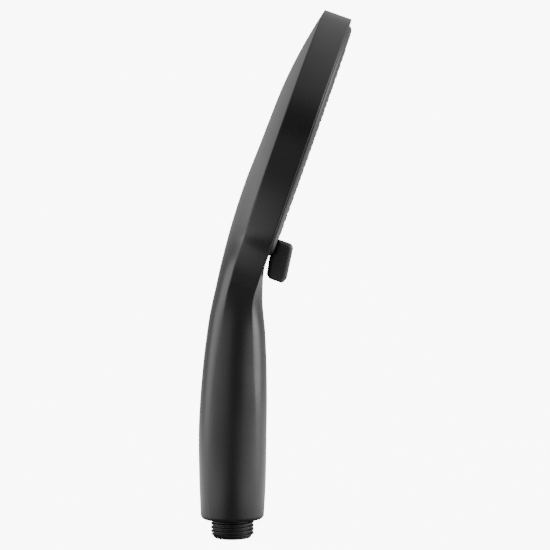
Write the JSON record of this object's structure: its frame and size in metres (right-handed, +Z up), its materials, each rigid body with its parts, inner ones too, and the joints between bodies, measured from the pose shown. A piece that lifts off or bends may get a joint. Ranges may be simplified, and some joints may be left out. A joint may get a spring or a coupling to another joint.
{
  "type": "handheld shower head",
  "caption": "Handheld shower head: round tilted spray face that turns between settings, straight handle and a bare male threaded inlet for a hose.",
  "frame": {"origin": "centre of the hose seal face, at the lower end of the inlet thread", "axes": "+Z up the handle along the inlet axis, +X towards the spray side, +Y across the head"},
  "size_m": [0.0745, 0.1248, 0.2565],
  "materials": {
    "satin_black": "satin black moulded plastic",
    "face_black": "fine matt black moulded plastic",
    "inlet_black": "matt black glass-filled plastic",
    "soft_grey": "dark grey silicone",
    "seal_rubber": "black nitrile rubber",
    "engine_plastic": "grey acetal",
    "white_plastic": "natural white acetal",
    "valve_blue": "blue acetal",
    "steel": "bright stainless steel",
    "spindle_brass": "turned brass"
  },
  "bodies": {
    "handle": {"body_shell": "satin_black", "inlet_connector": "inlet_black", "connector_o_ring": "seal_rubber", "connector_snap_ring": "steel", "inlet_screen": "white_plastic", "flow_regulator": "engine_plastic", "flow_regulator_o_ring": "seal_rubber", "check_valve_housing": "white_plastic", "check_valve_spring": "steel", "waterway_tube": "white_plastic", "tube_lower_o_ring": "seal_rubber", "tube_upper_o_ring": "seal_rubber", "engine_base": "engine_plastic", "engine_screws": "steel", "port_seal": "seal_rubber", "port_seal_spring": "steel", "support_pads": "soft_grey", "detent_spring": "steel"},
    "spray_face": {"face_plate": "face_black", "thumb_tab": "face_black", "tab_screw": "steel", "face_screws": "steel", "nozzle_mat": "soft_grey", "chamber_front": "engine_plastic", "chamber_back": "engine_plastic", "pivot_spindle": "spindle_brass", "spindle_o_ring": "seal_rubber", "spindle_washer": "white_plastic", "spindle_clip": "steel", "turbine_axle": "steel"},
    "valve_poppet": {"check_valve_poppet": "valve_blue", "check_valve_seal": "seal_rubber"},
    "detent": {"detent_plunger": "white_plastic"},
    "turbine_wheel": {"turbine": "valve_blue"}
  },
  "joints": [
    {"name": "face_turn", "type": "hinge", "parent": "handle", "child": "spray_face", "pos_m": [0.03907, 0, 0.19248], "axis": [0.9426, 0, -0.3338], "range_deg": [-30, 30]},
    {"name": "turbine_spin", "type": "hinge", "parent": "spray_face", "child": "turbine_wheel", "pos_m": [0.03907, 0, 0.19248], "axis": [0.9426, 0, -0.3338], "continuous": true},
    {"name": "poppet_slide", "type": "slide", "parent": "handle", "child": "valve_poppet", "axis": [0, 0, 1], "range_m": [0, 0.0024], "stiffness_N_per_m": 300, "springref_m": -0.002, "deforming": ["check_valve_spring"]},
    {"name": "detent_slide", "type": "slide", "parent": "handle", "child": "detent", "axis": [0.9426, 0, -0.3338], "range_m": [0, 0.0005], "stiffness_N_per_m": 500}
  ]
}
